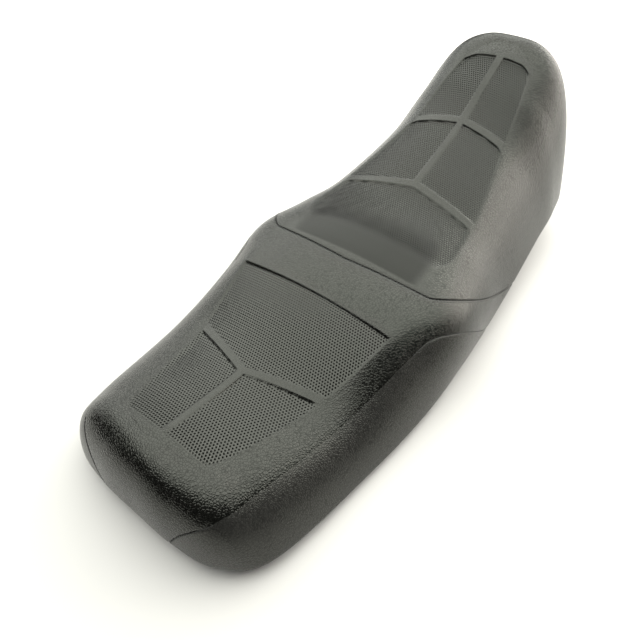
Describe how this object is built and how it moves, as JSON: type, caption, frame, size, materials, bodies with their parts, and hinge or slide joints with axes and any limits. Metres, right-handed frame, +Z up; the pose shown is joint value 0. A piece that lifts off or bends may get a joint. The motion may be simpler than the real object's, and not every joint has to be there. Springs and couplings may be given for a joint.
{
  "type": "motorcycle seat",
  "caption": "Stepped dual motorcycle seat with a dished rider part, a raised pillion part, pressed dimpled fields, sewn side panels and a ribbed moulded base on rubber feet.",
  "frame": {"origin": "bottom centre of the whole seat, on the plane that the front feet, the middle feet and the bracket feet stand on", "axes": "+X points forward to the tank end, +Y to the rider's left, +Z up"},
  "size_m": [0.6661, 0.2818, 0.2248],
  "materials": {
    "vinyl_top": "satin",
    "vinyl_side": "satin",
    "foam": "matte",
    "base_plastic": "matte",
    "painted_steel": "satin",
    "zinc_steel": "satin",
    "brass_insert": "satin",
    "rubber": "matte"
  },
  "bodies": {
    "root": {"seat_base": "base_plastic", "foam_cushion": "foam", "rider_cover": "vinyl_top", "pillion_cover": "vinyl_top", "side_cover_left": "vinyl_side", "side_cover_right": "vinyl_side", "cover_staples": "zinc_steel", "front_tongue": "painted_steel", "tongue_bolts": "zinc_steel", "tongue_washers": "zinc_steel", "tongue_inserts": "brass_insert", "rear_bracket_left": "painted_steel", "rear_bracket_right": "painted_steel", "bracket_bolts": "zinc_steel", "bracket_washers": "zinc_steel", "bracket_inserts": "brass_insert", "bumper_front_left": "rubber", "bumper_front_right": "rubber", "bumper_mid_left": "rubber", "bumper_mid_right": "rubber", "bumper_rear_left": "rubber", "bumper_rear_right": "rubber"}
  },
  "joints": []
}
